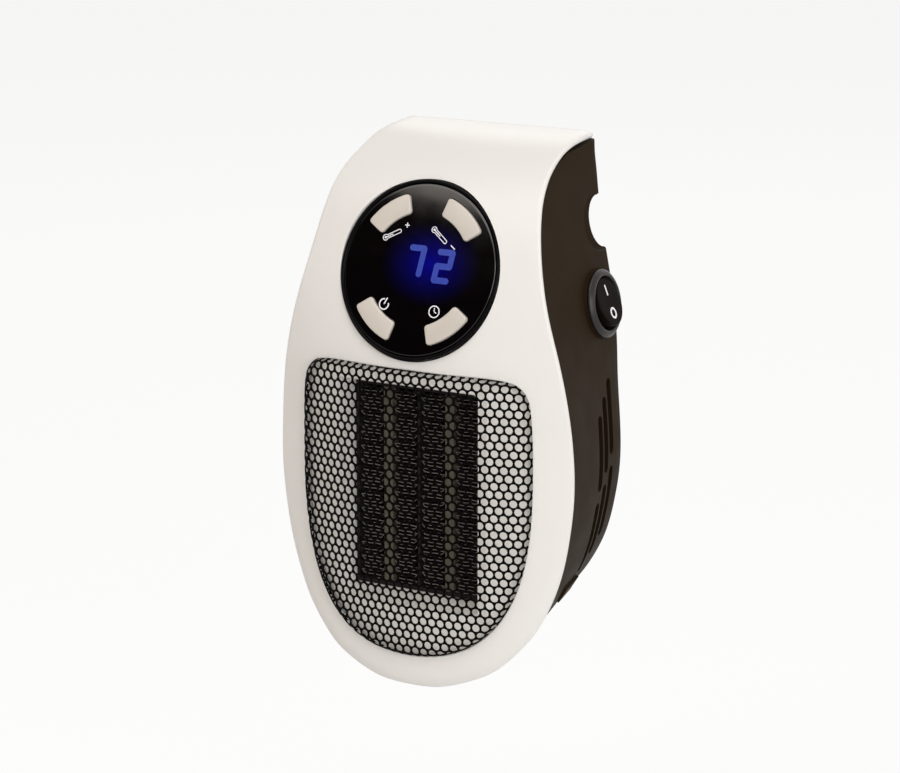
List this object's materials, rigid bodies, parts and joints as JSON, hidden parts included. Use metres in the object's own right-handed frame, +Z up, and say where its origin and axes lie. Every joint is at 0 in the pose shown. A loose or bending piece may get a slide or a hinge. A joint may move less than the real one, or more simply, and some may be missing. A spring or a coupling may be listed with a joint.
{
  "type": "plug-in fan heater",
  "caption": "Compact white and black fan heater that hangs from its own wall plug, with a round touch-key display, perforated outlet grille and side rocker switch.",
  "frame": {"origin": "centre of the plug's flat face, on the wall plane", "axes": "+Z up, +Y into the wall along the plug's blades, +X to the right as the heater is seen from the front"},
  "size_m": [0.114, 0.0823, 0.183],
  "materials": {
    "cover_white": "glossy warm white",
    "housing_dark": "satin near-black",
    "disc_black": "glossy black",
    "trim_black": "satin black",
    "key_ivory": "satin ivory",
    "grille_black": "satin black",
    "pan_white": "satin white",
    "fin_dark": "dark coated",
    "frame_dark": "satin black",
    "clamp_black": "matte black",
    "heater_stone": "matte olive grey",
    "steel": "brushed",
    "brass": "polished",
    "board_green": "satin green",
    "part_black": "matte black",
    "fan_ivory": "satin ivory",
    "copper": "enamelled copper winding"
  },
  "bodies": {
    "plug": {"plug_disc": "part_black", "plug_blade_live": "brass", "plug_blade_neutral": "brass", "plug_retainer": "fan_ivory"},
    "heater": {"front_cover": "cover_white", "rear_housing": "housing_dark", "screw_upper_right": "steel", "screw_upper_left": "steel", "screw_lower_right": "steel", "screw_lower_left": "steel", "grille": "grille_black", "outlet_pan": "pan_white", "element_clamp_top": "clamp_black", "element_clamp_bottom": "clamp_black", "element_frame_left": "frame_dark", "element_frame_right": "frame_dark", "element_divider": "frame_dark", "ptc_strip_1": "heater_stone", "ptc_strip_2": "heater_stone", "fin_pack_1": "fin_dark", "fin_pack_2": "fin_dark", "fin_pack_3": "fin_dark", "fin_pack_4": "fin_dark", "thermal_cutout": "fan_ivory", "fan_shroud": "housing_dark", "motor_bracket": "part_black", "fan_motor": "steel", "control_disc": "disc_black", "display_bezel": "trim_black", "key_switch_temp_up": "steel", "key_switch_temp_down": "steel", "key_switch_power": "steel", "key_switch_timer": "steel", "led_display": "part_black", "control_board": "board_green", "power_board": "board_green", "relay": "part_black", "terminal_block": "board_green", "heat_sink": "steel", "capacitor": "part_black", "choke": "copper", "tilt_switch": "steel", "switch_body": "trim_black", "switch_terminal_1": "brass", "switch_terminal_2": "brass"},
    "fan": {"impeller": "fan_ivory", "motor_shaft": "steel"},
    "rocker": {"switch_rocker": "trim_black"},
    "button_temp_up": {"button_temp_up": "key_ivory"},
    "button_temp_down": {"button_temp_down": "key_ivory"},
    "button_power": {"button_power": "key_ivory"},
    "button_timer": {"button_timer": "key_ivory"}
  },
  "joints": [
    {"name": "plug_turn", "type": "hinge", "parent": "plug", "child": "heater", "pos_m": [0, 0, 0], "axis": [0, 1, 0], "range_deg": [-90, 90]},
    {"name": "fan_spin", "type": "hinge", "parent": "heater", "child": "fan", "pos_m": [-0.0036, -0.02375, -0.09645], "axis": [0, 1, 0], "continuous": true},
    {"name": "rocker_tilt", "type": "hinge", "parent": "heater", "child": "rocker", "pos_m": [0.04529, -0.01318, -0.03295], "axis": [-0.0515, 0.9986, -0.0095], "range_deg": [0, 22]},
    {"name": "temp_up_press", "type": "slide", "parent": "heater", "child": "button_temp_up", "axis": [0, 0.9532, -0.3024], "range_m": [0, 0.0006], "stiffness_N_per_m": 1500, "springref_m": -0.0003},
    {"name": "temp_down_press", "type": "slide", "parent": "heater", "child": "button_temp_down", "axis": [0, 0.9532, -0.3024], "range_m": [0, 0.0006], "stiffness_N_per_m": 1500, "springref_m": -0.0003},
    {"name": "power_press", "type": "slide", "parent": "heater", "child": "button_power", "axis": [0, 0.9532, -0.3024], "range_m": [0, 0.0006], "stiffness_N_per_m": 1500, "springref_m": -0.0003},
    {"name": "timer_press", "type": "slide", "parent": "heater", "child": "button_timer", "axis": [0, 0.9532, -0.3024], "range_m": [0, 0.0006], "stiffness_N_per_m": 1500, "springref_m": -0.0003}
  ]
}
